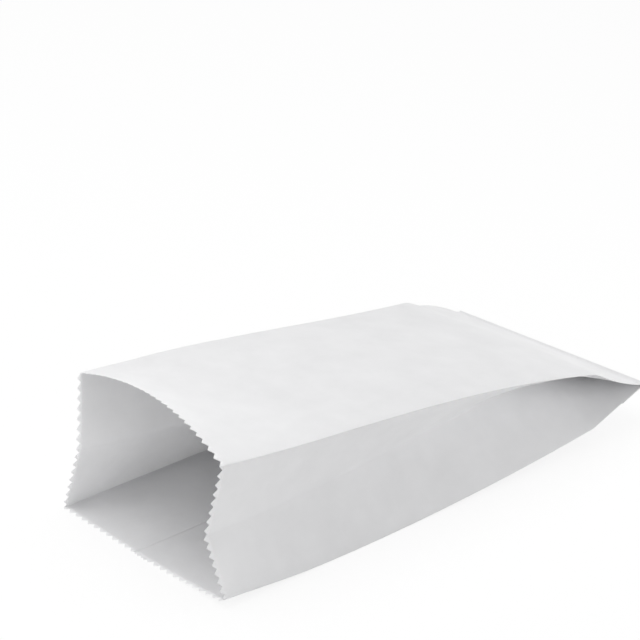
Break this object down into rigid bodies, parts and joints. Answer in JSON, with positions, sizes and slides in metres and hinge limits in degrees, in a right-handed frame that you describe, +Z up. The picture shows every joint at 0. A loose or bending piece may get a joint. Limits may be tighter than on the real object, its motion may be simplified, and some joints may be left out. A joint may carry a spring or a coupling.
{
  "type": "gusseted paper takeout bag",
  "caption": "Long gusseted paper bag lying on its back panel, mouth open with a pinked edge, other end folded under and pasted flat.",
  "frame": {"origin": "centre of the bag's footprint, on the surface it lies on", "axes": "+X from the open mouth to the closed end, +Y across to the far side, +Z up"},
  "size_m": [0.2918, 0.1282, 0.0901],
  "materials": {
    "white_paper": "matt, lightly mottled white machine-glazed paper"
  },
  "bodies": {
    "root": {"paper_bag": "white_paper"}
  },
  "joints": []
}
